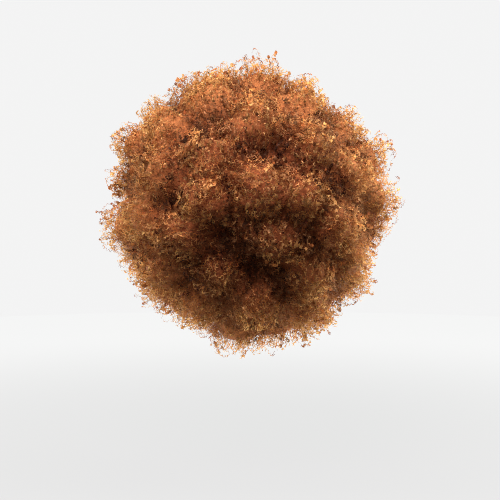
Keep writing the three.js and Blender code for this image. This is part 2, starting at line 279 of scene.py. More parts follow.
def stacked(parts):
    """Several (points, quads, uv) as one."""
    starts = np.cumsum([0] + [len(points) for points, _, _ in parts[:-1]])
    points, uv = (np.concatenate([part[k] for part in parts]) for k in (0, 2))
    return points, np.concatenate([quads + s for (_, quads, _), s in zip(parts, starts)]), uv


net_share = np.linspace(PATCH_SHARE * 0.9, 1.0, NET_STEPS)
net_radius = np.interp(net_share, dome_share, dome_line[:, 1])
net_twist = np.degrees(np.cumsum(dome_length * np.gradient(net_share) / net_radius))
net_parts = []
for hand in (-1, 1):
    starts = np.arange(NET_THREADS)[:, None] * 360 / NET_THREADS
    over = NET_OVER * hand * np.cos(np.arange(NET_STEPS) * math.pi / 2)
    clock = starts + hand * net_twist[None]
    threads = on_dome(net_share[None] + 0 * clock, clock, NET_MIDDLE + over[None])
    outside = on_dome(net_share[None] + 0 * clock, clock, NET_MIDDLE + over[None] + 1) - threads
    net_parts.append(tubes(threads, outside, NET_HALF[0] * MM, NET_HALF[1] * MM, 4))
patch_row = np.linspace(PATCH_PINHOLE, PATCH_SHARE, PATCH_ROWS)
patch_share = np.concatenate([patch_row, patch_row[::-1]])[:, None]
patch_out = np.repeat(PATCH_OUT, PATCH_ROWS)[:, None]
patch_clock = np.arange(PATCH_SIDES)[None] * 360 / PATCH_SIDES
patch = on_dome(patch_share + 0 * patch_clock, patch_clock + 0 * patch_share, patch_out)
corner = np.arange(patch_share.size * PATCH_SIDES).reshape(-1, PATCH_SIDES)
beside, below = np.roll(corner, -1, 1), np.roll(corner, -1, 0)
patch_quads = np.stack([corner, beside, np.roll(below, -1, 1), below], axis=-1).reshape(-1, 4)
patch_uv = 0.5 + patch[..., [0, 2]].reshape(-1, 2) / (PATCH_MAP * MM)
net_parts.append((patch.reshape(-1, 3), patch_quads, patch_uv))
net = array_object("net_cap_threads", *stacked(net_parts))


crossed_threads = bpy.data.node_groups.new("crossed_threads", "ShaderNodeTree")
for socket in ("Along", "Around"):
    crossed_threads.interface.new_socket(socket, in_out="INPUT", socket_type="NodeSocketFloat")
for socket in ("Height", "Shade", "Uneven"):
    crossed_threads.interface.new_socket(socket, in_out="OUTPUT", socket_type="NodeSocketFloat")


def calc(tree, operation, *values):
    """The output of a Math node fed by numbers or by other outputs."""
    step = tree.nodes.new("ShaderNodeMath")
    step.operation = operation
    for socket, value in zip(step.inputs, values):
        if isinstance(value, (int, float)):
            socket.default_value = value
        else:
            tree.links.new(value, socket)
    return step.outputs[0]


given = crossed_threads.nodes.new("NodeGroupInput")
own_map = crossed_threads.nodes.new("ShaderNodeUVMap")
own_map.uv_map = "OFBake"
map_parts = crossed_threads.nodes.new("ShaderNodeSeparateXYZ")
crossed_threads.links.new(own_map.outputs["UV"], map_parts.inputs[0])
lengthwise = calc(crossed_threads, "MULTIPLY", map_parts.outputs["X"], given.outputs["Along"])
crosswise = calc(crossed_threads, "MULTIPLY", map_parts.outputs["Y"], given.outputs["Around"])
one_way = calc(crossed_threads, "SINE", calc(crossed_threads, "ADD", lengthwise, crosswise))
other_way = calc(crossed_threads, "SINE", calc(crossed_threads, "SUBTRACT", lengthwise, crosswise))
height = calc(
    crossed_threads,
    "MAXIMUM",
    calc(crossed_threads, "ABSOLUTE", one_way),
    calc(crossed_threads, "ABSOLUTE", other_way),
)
patches = crossed_threads.nodes.new("ShaderNodeTexNoise")
patches.inputs["Scale"].default_value = 0.3
patches_at = crossed_threads.nodes.new("ShaderNodeCombineXYZ")
crossed_threads.links.new(lengthwise, patches_at.inputs["X"])
crossed_threads.links.new(crosswise, patches_at.inputs["Y"])
crossed_threads.links.new(patches_at.outputs[0], patches.inputs["Vector"])
result = crossed_threads.nodes.new("NodeGroupOutput")
crossed_threads.links.new(height, result.inputs["Height"])
# Painted shade: the colour darkens where the threads sink, down to 0.4 by the square of their height.
crossing_shade = calc(crossed_threads, "MULTIPLY_ADD", calc(crossed_threads, "POWER", height, 2.0), 0.6, 0.4)
crossed_threads.links.new(crossing_shade, result.inputs["Shade"])
crossed_threads.links.new(patches.outputs["Fac"], result.inputs["Uneven"])


def thread_material(name, dark, light, along, around, bump, **sockets):
    """Threads of one colour that varies a little, raised where they cross over each other, with painted shade
    where they sink between.
    """
    material, shader = new_material(name, **sockets)
    threads = material.node_tree.nodes.new("ShaderNodeGroup")
    threads.node_tree = crossed_threads
    threads.inputs["Along"].default_value = along
    threads.inputs["Around"].default_value = around
    uneven = node(material, "Mix", data_type="RGBA", A=(*dark, 1.0), B=(*light, 1.0))
    shaded = node(material, "Mix", data_type="RGBA", blend_type="MULTIPLY", Factor=1.0)
    raised = node(material, "Bump", Strength=bump, Distance=0.0004)
    join(material, threads.outputs["Uneven"], uneven.inputs["Factor"])
    join(material, uneven.outputs["Result"], shaded.inputs["A"])
    join(material, threads.outputs["Shade"], shaded.inputs["B"])
    join(material, shaded.outputs["Result"], shader.inputs["Base Color"])
    join(material, threads.outputs["Height"], raised.inputs["Height"])
    join(material, raised.outputs["Normal"], shader.inputs["Normal"])
    return material


net_material = thread_material(
    "brown_nylon",
    (0.034, 0.015, 0.008),
    (0.085, 0.038, 0.020),
    420.0,
    6.0,
    0.5,
    Roughness=0.7,
    Specular_IOR_Level=0.12,
)
net.data.materials.append(net_material)
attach(net, "root")
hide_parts("net_cap")


# Weft track: the long band of doubled hair, stitched along its edge, that carries the curls. It is sewn to
# the outside of the net in one spiral from the mouth to the crown, and shows through the net from inside.
TRACK_ROUNDS = 7
TRACK_STEPS_A_ROUND = 90
TRACK_SHARE = (0.95, 0.24)
TRACK_OUT = 0.72
TRACK_HALF = (1.9, 0.34)
TRACK_SIDES = 8

track_clock = np.linspace(0, 360 * TRACK_ROUNDS, TRACK_ROUNDS * TRACK_STEPS_A_ROUND)[None]
track_share = np.linspace(*TRACK_SHARE, track_clock.size)[None]
track_path = on_dome(track_share, track_clock, TRACK_OUT)
track_outside = on_dome(track_share, track_clock, TRACK_OUT + 1) - track_path
track_tube = tubes(track_path, track_outside, TRACK_HALF[0] * MM, TRACK_HALF[1] * MM, TRACK_SIDES)
track = array_object("weft_track", *track_tube)
track.data.materials.append(
    thread_material(
        "stitched_weft", (0.10, 0.032, 0.010), (0.20, 0.07, 0.022), 2200.0, 3.0, 0.8, Roughness=0.6
    )
)
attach(track, "root")


# Rim casing: a soft brown knit band folded over the cord and sewn down round the cap's mouth. Drawing the
# cord has ruched it into fine folds, and it is open at the bottom, where the cord comes out.
MOUTH_RADIUS = 50
CASING_HALF = (4.4, 3.9)
CASING_GAP = 26
CASING_STEPS = 620
CASING_SIDES = 26
FOLDS = 118
FOLD_SHARE = 0.055
SEAM_DENT = 0.10
SEAM_HALF = 0.28
END_FOLD = ((9.0, 0.60), (1.2, 0.60), (0.35, 0.64), (0.0, 0.74), (0.1, 0.86), (0.5, 0.95))

fold_inside, fold_size = np.array(END_FOLD).T
fold_clock = np.degrees(fold_inside / MOUTH_RADIUS)
first_clock, last_clock = 180 + CASING_GAP / 2, 540 - CASING_GAP / 2
casing_clock = np.linspace(first_clock + 1.4, last_clock - 1.4, CASING_STEPS)
last_fold = (last_clock - fold_clock)[::-1]
casing_clock = np.concatenate([first_clock + fold_clock, casing_clock, last_fold])[:, None]
casing_size = np.concatenate([fold_size, np.ones(CASING_STEPS), fold_size[::-1]])[:, None]
casing_angle = np.arange(CASING_SIDES)[None] * 2 * math.pi / CASING_SIDES
slow_noise = np.array([noise.noise(Vector((0.11 * c, 3.7, 1.3))) for c in casing_clock[:, 0]])[:, None]
folds = np.cos(np.radians(casing_clock) * FOLDS + 5.0 * slow_noise + 0.9 * np.sin(casing_angle))
sewn_in = np.exp(-(((casing_angle - math.pi) / SEAM_HALF) ** 2))
swell = casing_size * (1 + FOLD_SHARE * folds * (casing_size == 1) + 0.03 * slow_noise - SEAM_DENT * sewn_in)
casing_turn = np.radians(casing_clock)
casing_radius = MOUTH_RADIUS + CASING_HALF[1] * swell * np.sin(casing_angle)
casing_points = MM * np.stack(
    [
        casing_radius * np.sin(casing_turn),
        CASING_HALF[0] * swell * np.cos(casing_angle),
        casing_radius * np.cos(casing_turn),
    ],
    axis=-1,
)
corner = np.arange(casing_clock.size * CASING_SIDES).reshape(-1, CASING_SIDES)
before, after = corner[:-1], corner[1:]
casing_quads = np.stack([before, np.roll(before, -1, 1), np.roll(after, -1, 1), after], axis=-1)
casing_quads = casing_quads.reshape(-1, 4)
casing_u = np.linspace(0.002, 0.998, casing_clock.size)[:, None]
casing_v = 0.02 + 0.96 * np.abs(2 * np.arange(CASING_SIDES) / CASING_SIDES - 1)[None]
casing_uv = np.stack(np.broadcast_arrays(casing_u, casing_v), axis=-1).reshape(-1, 2)
casing = array_object("ruched_casing", casing_points.reshape(-1, 3), casing_quads, casing_uv)
casing.data.materials.append(
    thread_material(
        "brown_knit_band",
        (0.045, 0.018, 0.009),
        (0.100, 0.043, 0.022),
        900.0,
        34.0,
        0.7,
        Roughness=0.85,
        Specular_IOR_Level=0.05,
    )
)
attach(casing, "root")
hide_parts("rim_casing")


# Drawstring: a round braided polyester cord that runs through the whole casing. Its ends come out at the
# bottom, are tied in a barrel knot that bridges the gap, and are cut short and sealed.
CORD_RADIUS = 1.55
CORD_SIDES = 12
RING_STEPS = 260
KNOT_WRAPS = 3
KNOT_PITCH = 2.3
KNOT_RADIUS = 2.2
KNOT_STEPS = 150
TAIL_ROUTE = ((3, 0, -1), (5.5, 2.5, -4.5), (6, 4.5, -9), (5, 5.5, -13))
TAIL_STEPS = 60
BRAID_LOBES = 6
BRAID_SHARE = 0.07
BRAID_PACE = 1.5
RING_END = 0.06
SEALED_TIP = (1.06, 1.12, 1.12, 1.02, 0.72, 0.05)


def braided(path, faced, span, size=1.0):
    """A braided cord along one path: lobes that wind both ways round it, over a span of the cord's map."""
    run = np.concatenate([[0], np.cumsum(np.linalg.norm(np.diff(path, axis=0), axis=1))])[:, None] / MM
    angle = (np.arange(CORD_SIDES) + 0.5)[None] * 2 * math.pi / CORD_SIDES
    wind, pace = BRAID_LOBES / 2 * angle, BRAID_PACE * run
    lobes = np.maximum(np.abs(np.sin(wind + pace)), np.abs(np.sin(wind - pace)))
    half = MM * CORD_RADIUS * (size * np.ones(len(path)))[:, None] * (1 - BRAID_SHARE + BRAID_SHARE * lobes)
    faced_ways = np.broadcast_to(faced, path.shape)
    return tubes(path[None], faced_ways[None], half[None], half[None], CORD_SIDES, span)


ring_turn = math.pi + np.linspace(RING_END, 2 * math.pi - RING_END, RING_STEPS)
ring = MM * MOUTH_RADIUS * np.stack([np.sin(ring_turn), 0 * ring_turn, np.cos(ring_turn)], axis=-1)
cord_parts = [braided(ring, (0, 1, 0), (0.002, 0.80))]
wrap = np.linspace(-0.5, 0.5, KNOT_STEPS)
wrap_turn = wrap * 2 * math.pi * (KNOT_WRAPS + 0.4)
knot = MM * np.stack(
    [
        wrap * KNOT_PITCH * KNOT_WRAPS,
        KNOT_RADIUS * np.sin(wrap_turn),
        KNOT_RADIUS * np.cos(wrap_turn) - MOUTH_RADIUS,
    ],
    axis=-1,
)
cord_parts.append(braided(knot, (1, 0, 0), (0.81, 0.91)))
tail_size = np.ones(TAIL_STEPS)
tail_size[-len(SEALED_TIP):] = SEALED_TIP
for hand, span in ((-1, (0.92, 0.955)), (1, (0.96, 0.995))):
    route = MM * np.array([(hand * side, out, up - MOUTH_RADIUS) for side, out, up in TAIL_ROUTE])
    cord_parts.append(braided(smooth_line(route, TAIL_STEPS), (1, 0, 0), span, tail_size))
cord = array_object("braided_drawstring", *stacked(cord_parts))
cord.data.materials.append(
    thread_material(
        "braided_cord",
        (0.045, 0.017, 0.008),
        (0.095, 0.040, 0.020),
        260.0,
        9.5,
        0.9,
        Roughness=0.7,
        Specular_IOR_Level=0.08,
    )
)
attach(cord, "root")
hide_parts("drawstring")


# Combs: two small moulded plastic combs, one at the top of the mouth and one at the bottom. Their teeth lie
# along the inside of the cap, and dark thread sews each spine to the net between the teeth.
COMB_RADIUS = 48.4
COMB_SPREAD = 44
COMB_DEPTH = 10.5
SPINE_HALF = (2.3, 1.2)
SPINE_STEPS = 80
SPINE_SIDES = 16
COMB_TEETH = 10
COMB_END = 2
TOOTH_LENGTH = 18
TOOTH_RADII = (0.95, 0.5)
TOOTH_STEPS = 18
TOOTH_SIDES = 10
TOOTH_LEAN = 15
STITCH_HALF = (3.3, 3.1)
STITCH_OUT = 1.45
STITCH_THREAD = 0.22
STITCH_STEPS = 20
STITCH_SIDES = 5
STITCH_SLANT = 0.45
SPINE_ROUND = 1.6
TOOTH_ROUND_FROM = 0.95
TOOTH_ROUND_OVER = 0.0501


def ring_at(clock, radius, depth):
    turned = np.radians(clock)
    return MM * np.stack([radius * np.sin(turned), -depth + 0 * turned, radius * np.cos(turned)], axis=-1)


plastic, plastic_shader = new_material("moulded_plastic", Roughness=0.3, Specular_IOR_Level=0.5)
plastic_place = node(plastic, "TexCoord")
plastic_cloud = node(plastic, "TexNoise", Scale=140.0, Detail=4.0, Distortion=0.6)
plastic_colour = node(plastic, "ValToRGB")
plastic_colour.color_ramp.elements[0].position = 0.35
plastic_colour.color_ramp.elements[0].color = (0.018, 0.008, 0.004, 1)
plastic_colour.color_ramp.elements[1].position = 0.75
plastic_colour.color_ramp.elements[1].color = (0.085, 0.034, 0.013, 1)
plastic_rub = node(plastic, "TexNoise", Scale=900.0, Detail=5.0)
plastic_gloss = node(plastic, "MapRange", To_Min=0.22, To_Max=0.48)
plastic_bump = node(plastic, "Bump", Strength=0.12, Distance=0.0002)
join(plastic, plastic_place.outputs["Object"], plastic_cloud.inputs["Vector"])
join(plastic, plastic_place.outputs["Object"], plastic_rub.inputs["Vector"])
join(plastic, plastic_cloud.outputs["Fac"], plastic_colour.inputs["Fac"])
join(plastic, plastic_colour.outputs["Color"], plastic_shader.inputs["Base Color"])
join(plastic, plastic_rub.outputs["Fac"], plastic_gloss.inputs["Value"])
join(plastic, plastic_gloss.outputs["Result"], plastic_shader.inputs["Roughness"])
join(plastic, plastic_rub.outputs["Fac"], plastic_bump.inputs["Height"])
join(plastic, plastic_bump.outputs["Normal"], plastic_shader.inputs["Normal"])

tooth_pitch = (COMB_SPREAD - 2 * COMB_END) / (COMB_TEETH - 1)
tooth_clock = (np.arange(COMB_TEETH) - (COMB_TEETH - 1) / 2) * tooth_pitch
tooth_run = np.sin(np.linspace(0, math.pi / 2, TOOTH_STEPS))
tooth_end = np.clip((tooth_run - TOOTH_ROUND_FROM) / TOOTH_ROUND_OVER, 0, 1)
tooth_half = np.interp(tooth_run, (0, 1), TOOTH_RADII) * np.sqrt(1 - tooth_end**2)
lean_in = math.radians(TOOTH_LEAN)
stitch_parts = []
for name, middle_clock in (("comb_top", 0), ("comb_bottom", 180)):
    spine_clock = middle_clock + np.linspace(-COMB_SPREAD / 2, COMB_SPREAD / 2, SPINE_STEPS)
    spine = ring_at(spine_clock, COMB_RADIUS, COMB_DEPTH)
    end_gap = COMB_SPREAD / 2 - np.abs(spine_clock - middle_clock)
    spine_end = 1 - np.clip(end_gap / SPINE_ROUND, 0, 1)
    round_end = np.sqrt(np.clip(1 - spine_end**2, 0.0004, 1))[None, :, None]
    angle = (np.arange(SPINE_SIDES) + 0.5) * 2 * math.pi / SPINE_SIDES
    squared = (np.abs(np.cos(angle)) ** 4 + np.abs(np.sin(angle)) ** 4) ** -0.25
    halves = [half * MM * squared * round_end for half in SPINE_HALF]
    outside = ring_at(spine_clock, 1, 0)
    comb_parts = [tubes(spine[None], outside[None], halves[0], halves[1], SPINE_SIDES)]
    clock = (middle_clock + tooth_clock)[:, None]
    run = tooth_run[None] * TOOTH_LENGTH
    teeth = ring_at(
        clock + 0 * run, COMB_RADIUS - run * math.sin(lean_in), COMB_DEPTH + run * math.cos(lean_in)
    )
    faced = ring_at(clock + 0 * run, 1, 0)
    half = (tooth_half * MM)[None, :, None]
    comb_parts.append(tubes(teeth, faced, half, half, TOOTH_SIDES))
    comb = array_object(name + "_moulded", *stacked(comb_parts))
    comb.data.materials.append(plastic)
    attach(comb, "root")
    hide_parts(name)
    loop_turn = np.linspace(0, 2 * math.pi, STITCH_STEPS)
    for gap in tooth_clock[:-1] + tooth_pitch / 2 + middle_clock:
        for slant in (-STITCH_SLANT, STITCH_SLANT):
            loop = ring_at(
                gap + slant * np.cos(loop_turn),
                COMB_RADIUS + STITCH_OUT + STITCH_HALF[1] * np.sin(loop_turn),
                COMB_DEPTH + STITCH_HALF[0] * np.cos(loop_turn),
            )
            loop_outward = loop - ring_at(gap, COMB_RADIUS + STITCH_OUT, COMB_DEPTH)
            thread_half = STITCH_THREAD * MM
            stitch_parts.append(tubes(loop[None], loop_outward[None], thread_half, thread_half, STITCH_SIDES))
stitches = array_object("comb_stitches", *stacked(stitch_parts))
stitches.data.materials.append(net_material)
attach(stitches, "root")


# Dense middle of the puff: the roots and lower coils of the synthetic curls, too close together to tell
# apart. It follows the puff's locks a little way in and lies close against the net that it is sewn to. Its
# colour is painted lighter away from the front-to-back axis, as painted rim light.
MASS_ROUND = 160
MASS_ROWS = (np.linspace(1.5, 138, 70), np.linspace(139, 151, 13), np.linspace(153, 178.5, 12))
MASS_SMOOTHING = 5
INSET_AT = (0, 40, 70, 118, 140, 148, 180)
INSET = (0.016, 0.016, 0.008, 0.008, 0.003, 0.0006, 0.0006)
FUZZ_SHARE = 0.2
FUZZ_SIZE = 0.007
MOUTH_HALF_ANGLE = 144.0
OUTER_PAINTED_LIGHT = (1.5, 1.85, 1.75, 1.0)


def aim_at(clock, off_axis):
    """Unit directions from clock and off-axis angles in degrees, clock clockwise from the top."""
    turned, lean = np.radians(clock), np.radians(off_axis)
    return np.stack(
        [np.sin(lean) * np.sin(turned), -np.cos(lean), np.sin(lean) * np.cos(turned)], axis=-1
    )


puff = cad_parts["hair_puff"].data
puff_tree = BVHTree.FromPolygons([v.co for v in puff.vertices], [p.vertices for p in puff.polygons])


def puff_reach(directions):
    """How far the puff's surface is from its middle, in each direction."""
    reach = np.empty(len(directions))
    for i, direction in enumerate(directions):
        reach[i] = puff_tree.ray_cast(PUFF_MIDDLE, Vector(direction))[3]
    return reach


def noise_at(points, size, seed):
    """Smooth noise from -1 to 1 at each point, with lumps of about the given size."""
    shift = Vector((seed * 7.31, seed * 3.17, seed * 5.73))
    return np.array([noise.noise(Vector(p) / size + shift) for p in points])


row_line = np.concatenate(MASS_ROWS)
grid_clock, grid_row = np.meshgrid(np.arange(MASS_ROUND) * 360.0 / MASS_ROUND, row_line)
mass_aim = aim_at(grid_clock, grid_row)
rough_reach = puff_reach(mass_aim.reshape(-1, 3)).reshape(grid_row.shape)
mass_reach = rough_reach
for _ in range(MASS_SMOOTHING):
    beside = np.roll(mass_reach, 1, axis=1) + np.roll(mass_reach, -1, axis=1)
    padded = np.pad(mass_reach, ((1, 1), (0, 0)), mode="edge")
    mass_reach = (2 * mass_reach + beside + padded[:-2] + padded[2:]) / 6
mass_reach = np.where(grid_row < MOUTH_HALF_ANGLE - 8, mass_reach, rough_reach)
inset = np.interp(grid_row, INSET_AT, INSET)
fuzz = noise_at((mass_aim * mass_reach[..., None]).reshape(-1, 3), FUZZ_SIZE, 1).reshape(grid_row.shape)
mass_reach = mass_reach - inset * (1 - FUZZ_SHARE * fuzz)
poles = [(0, -mass_reach[0].mean(), 0), (0, mass_reach[-1].mean(), 0)]
mass_points = np.concatenate([(mass_aim * mass_reach[..., None]).reshape(-1, 3), poles])
mass_points = mass_points + np.array(PUFF_MIDDLE)
corner = np.arange(grid_row.size).reshape(grid_row.shape)
beside = np.roll(corner, -1, 1)
front_pole, back_pole = grid_row.size, grid_row.size + 1
mass_faces = np.concatenate(
    [
        np.stack([corner[:-1], corner[1:], beside[1:]], axis=-1).reshape(-1, 3),
        np.stack([corner[:-1], beside[1:], beside[:-1]], axis=-1).reshape(-1, 3),
        np.stack([0 * corner[0] + front_pole, corner[0], beside[0]], axis=-1),
        np.stack([0 * corner[0] + back_pole, beside[-1], corner[-1]], axis=-1),
    ]
)
hair_mass = array_object("hair_mass", mass_points, mass_faces)

deep_hair, deep_shader = new_material("deep_hair", Roughness=0.8, Specular_IOR_Level=0.1)
deep_place = node(deep_hair, "TexCoord")
deep_coils = node(deep_hair, "TexNoise", Scale=260.0, Detail=4.0, Distortion=2.2)
deep_colour = node(deep_hair, "ValToRGB")
deep_colour.color_ramp.elements[0].position = 0.35
deep_colour.color_ramp.elements[0].color = (0.12, 0.032, 0.011, 1.0)
deep_colour.color_ramp.elements[1].position = 0.68
deep_colour.color_ramp.elements[1].color = (0.34, 0.100, 0.032, 1.0)
deep_bump = node(deep_hair, "Bump", Strength=0.9, Distance=0.0012)
join(deep_hair, deep_place.outputs["Object"], deep_coils.inputs["Vector"])
join(deep_hair, deep_coils.outputs["Fac"], deep_colour.inputs["Fac"])
join(deep_hair, deep_coils.outputs["Fac"], deep_bump.inputs["Height"])
# Painted rim light: the colour is made lighter from 70 to 120 mm away from the front-to-back axis.
off_axis = node(deep_hair, "VectorMath", operation="MULTIPLY")
off_axis.inputs[1].default_value = (1.0, 0.0, 1.0)
off_axis_by = node(deep_hair, "VectorMath", operation="LENGTH")
painted_light_share = node(deep_hair, "MapRange", From_Min=0.07, From_Max=0.12)
outer_painted_light = node(deep_hair, "Mix", data_type="RGBA", blend_type="MULTIPLY")
outer_painted_light.inputs["B"].default_value = OUTER_PAINTED_LIGHT
join(deep_hair, deep_place.outputs["Object"], off_axis.inputs[0])
join(deep_hair, off_axis.outputs["Vector"], off_axis_by.inputs[0])
join(deep_hair, off_axis_by.outputs["Value"], painted_light_share.inputs["Value"])
join(deep_hair, painted_light_share.outputs["Result"], outer_painted_light.inputs["Factor"])
join(deep_hair, deep_colour.outputs["Color"], outer_painted_light.inputs["A"])
join(deep_hair, outer_painted_light.outputs["Result"], deep_shader.inputs["Base Color"])
join(deep_hair, deep_bump.outputs["Normal"], deep_shader.inputs["Normal"])
hair_mass.data.materials.append(deep_hair)
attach(hair_mass, "root")
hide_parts("hair_puff")


# Curls: thousands of springy synthetic coils that grow out of the middle, each a flat fibre bundle wound
# into a tight, uneven helix. They are sewn to the cap by the root, gather in tufts, and their free ends
# make the frizzy outline.
CURL_SECTORS = ("front", "top", "right", "bottom", "left", "back")
LAST_CURLS = 148.5
FRONT_SECTOR, BACK_SECTOR = 50.0, 116.0
CURL_COUNT = 24000
TUFT_COUNT = 620
CURL_STEPS = 35
STEPS_A_TURN = 5.3
STRAND_LENGTH = (0.026, 0.038)
REACH_AT = (30, 70, 118, 140, 148)
REACH_LOW = (-0.015, -0.010, -0.010, 0.001, 0.003)
REACH_HIGH = (0.004, 0.009, 0.009, 0.007, 0.012)
TIP_SKEW = 1.1
TUFT_RISE = 0.002
TUFT_GATHER = 0.12
DRIFT = 0.8
TUFT_DRIFT = 0.5
COIL_RADIUS = (0.0007, 0.0017)
FIBRE_WIDTH = (0.00024, 0.00040)
FLAT_SPREAD = 0.4
GROWTH_MIDDLE = np.array((0.0, -0.055, 0.0))
SOFT_BLUR = (0.09, 0.05)
LOCK_RELIEF = (1.3, 1.1)
LOCK_SPAN = 24
SHONE_THROUGH = 0.5
SHONE_TINT = (1.10, 1.42, 1.18, 1.0)
SUNK_PAINTED_SHADE = 52
LOCK_SHADE = 0.9
# Tone by lean: lighter round the rim seen from the front as painted rim light, darker towards the back as
# painted shade.
LEAN_TONE_AND_PAINTED_LIGHT_AT = (40, 66, 102, 125, 150)
LEAN_TONE_AND_PAINTED_LIGHT = (0.48, 0.68, 0.68, 0.45, 0.40)
OWN_TINT = (0.34, 0.08)

draw = np.random.default_rng(41)


def soft_surface(directions):
    """The puff's reach, averaged with a ring of near directions to round it off, and the way it faces."""
    blur = np.interp(-directions[:, 1], (0.26, 0.64), SOFT_BLUR[::-1])[:, None]
    total = 2 * puff_reach(directions)
    slope = 0 * directions
    steady = np.where(np.abs(directions[:, 2:]) < 0.9, [[0, 0, 1]], [[1, 0, 0]])
    right = unit(np.cross(directions, steady))
    up = np.cross(right, directions)
    for a in np.arange(6) * math.pi / 3:
        aside = math.cos(a) * right + math.sin(a) * up
        reach = puff_reach(unit(directions + blur * aside))
        total += reach
        slope += reach[:, None] * aside / (3 * blur)
    return total / 8, unit(directions * total[:, None] / 8 - LOCK_SHADE * slope)


def spread_aims(count, jitter):
    """Evenly spread clock and off-axis angles over the puff, clear of the mouth."""
    index = np.arange(count) + 0.5
    covered = 1 - math.cos(math.radians(LAST_CURLS))
    lean = np.degrees(np.arccos(1 - covered * index / count)) + draw.normal(0, jitter, count)
    spin = (index * 360 * (math.sqrt(5) - 1) / 2 + draw.normal(0, 2 * jitter, count)) % 360
    return spin, np.clip(lean, 0.2, LAST_CURLS)


tuft_aim = aim_at(*spread_aims(TUFT_COUNT, 2.0))
tuft_top = tuft_aim * soft_surface(tuft_aim)[0][:, None]
tuft_rise = draw.normal(0, TUFT_RISE, TUFT_COUNT)
tuft_sway = draw.normal(0, 1, (TUFT_COUNT, 3))
tuft_tint = draw.normal(0, 0.05, TUFT_COUNT)

spin, lean = spread_aims(CURL_COUNT, 1.2)
curl_aim = aim_at(spin, lean)
own_tuft = np.argmax(curl_aim @ tuft_aim.T, axis=1)
curl_reach, crowd_way = soft_surface(curl_aim)
beside_mouth = lean > MOUTH_HALF_ANGLE - 8
curl_reach[beside_mouth] = puff_reach(curl_aim[beside_mouth])
crowd_way[beside_mouth] = curl_aim[beside_mouth]
near = curl_aim @ curl_aim[::8].T > math.cos(math.radians(LOCK_SPAN))
round_reach = near @ curl_reach[::8] / near.sum(axis=1)
sunk = round_reach - curl_reach
relief = np.interp(lean, (50, 75), LOCK_RELIEF)
surface = curl_aim * (round_reach - relief * sunk)[:, None]
low, high = (np.interp(lean, REACH_AT, row) for row in (REACH_LOW, REACH_HIGH))
tip_rise = low + (high - low) * draw.uniform(0, 1, CURL_COUNT) ** TIP_SKEW + tuft_rise[own_tuft]
by_the_mouth = np.interp(lean, (118, 142), (1.0, 0.45))
gathered = surface + TUFT_GATHER * (tuft_top[own_tuft] - surface)
tip = gathered + curl_aim * tip_rise[:, None] + np.array(PUFF_MIDDLE)
growth = unit(tip - GROWTH_MIDDLE)


def heading():
    """The way each curl runs: outward, leaning with its tuft and at random."""
    lean_over = TUFT_DRIFT * tuft_sway[own_tuft] + DRIFT * draw.normal(0, 1, (CURL_COUNT, 3))
    return unit(growth + np.sqrt(by_the_mouth)[:, None] * lean_over)


third = (by_the_mouth * draw.uniform(*STRAND_LENGTH, CURL_COUNT) / 3)[:, None]
p3 = tip
p2 = p3 - third * heading()
p1 = p2 - third * heading()
p0 = p1 - third * growth
t = np.linspace(0, 1, CURL_STEPS + 1)[None, :, None]
p0, p1, p2, p3 = (p[:, None] for p in (p0, p1, p2, p3))
axis = p0 * (1 - t) ** 3 + 3 * p1 * t * (1 - t) ** 2 + 3 * p2 * t**2 * (1 - t) + p3 * t**3


def waves(low, high, count=2):
    """A slow uneven wave along each curl, about -1 to 1."""
    total = 0
    for _ in range(count):
        pace = draw.uniform(low, high, (CURL_COUNT, 1, 1))
        start = draw.uniform(0, 2 * math.pi, (CURL_COUNT, 1, 1))
        total = total + np.sin(2 * math.pi * pace * t + start)
    return total / count


along = unit(np.gradient(axis, axis=1))
side = unit(np.cross(along, draw.normal(0, 1, (CURL_COUNT, 1, 3))))
other = np.cross(along, side)
hand = draw.choice([-1, 1], (CURL_COUNT, 1, 1))
turns = CURL_STEPS / STEPS_A_TURN * draw.uniform(0.8, 1.1, (CURL_COUNT, 1, 1))
angle = hand * 2 * math.pi * turns * t + draw.uniform(0, 6.28, (CURL_COUNT, 1, 1)) + 1.6 * waves(1, 3)
radius = draw.uniform(*COIL_RADIUS, (CURL_COUNT, 1, 1)) * (0.85 + 0.3 * t) * (1 + 0.3 * waves(2, 5))
outward = np.cos(angle) * side + np.sin(angle) * other
line = axis + radius * outward
run = np.gradient(line, axis=1)
flat_way = unit(growth + FLAT_SPREAD * draw.normal(0, 1, (CURL_COUNT, 3)))[:, None]
width = draw.uniform(*FIBRE_WIDTH, (CURL_COUNT, 1, 1)) * (1.0 - 0.82 * t**1.3)
width = width * np.interp(lean, (40, 70), (1.0, 0.7))[:, None, None]
edge_side = np.where(np.arange(CURL_STEPS + 1) % 2, 1.0, -1.0)[None, :, None]
strip = line + edge_side * 0.5 * width * unit(np.cross(run, flat_way))

# Painted light: each curl's tone rises round the rim seen from the front and falls towards the back, painted
# rim light and painted shade.
tone_and_painted_light = np.interp(lean, LEAN_TONE_AND_PAINTED_LIGHT_AT, LEAN_TONE_AND_PAINTED_LIGHT) + tuft_tint[own_tuft] + 0.08 * noise_at(surface, 0.030, 5)
tone_and_painted_light += draw.normal(0, 1, CURL_COUNT) * np.interp(lean, (30, 70), OWN_TINT)
# Painted shade: curls that lie sunk in the hollows between locks are made darker.
tone_and_painted_light -= SUNK_PAINTED_SHADE * np.clip(sunk, -0.004, 0.014)
tone_and_painted_light = np.clip(tone_and_painted_light, 0.03, 0.97)

copper_curls, curl_shader = new_material(
    "copper_curls", Roughness=0.55, Specular_IOR_Level=0.15, Specular_Tint=(1.0, 0.82, 0.64, 1.0)
)
curl_map = node(copper_curls, "UVMap", uv_map="OFBake")
map_split = node(copper_curls, "SeparateXYZ")
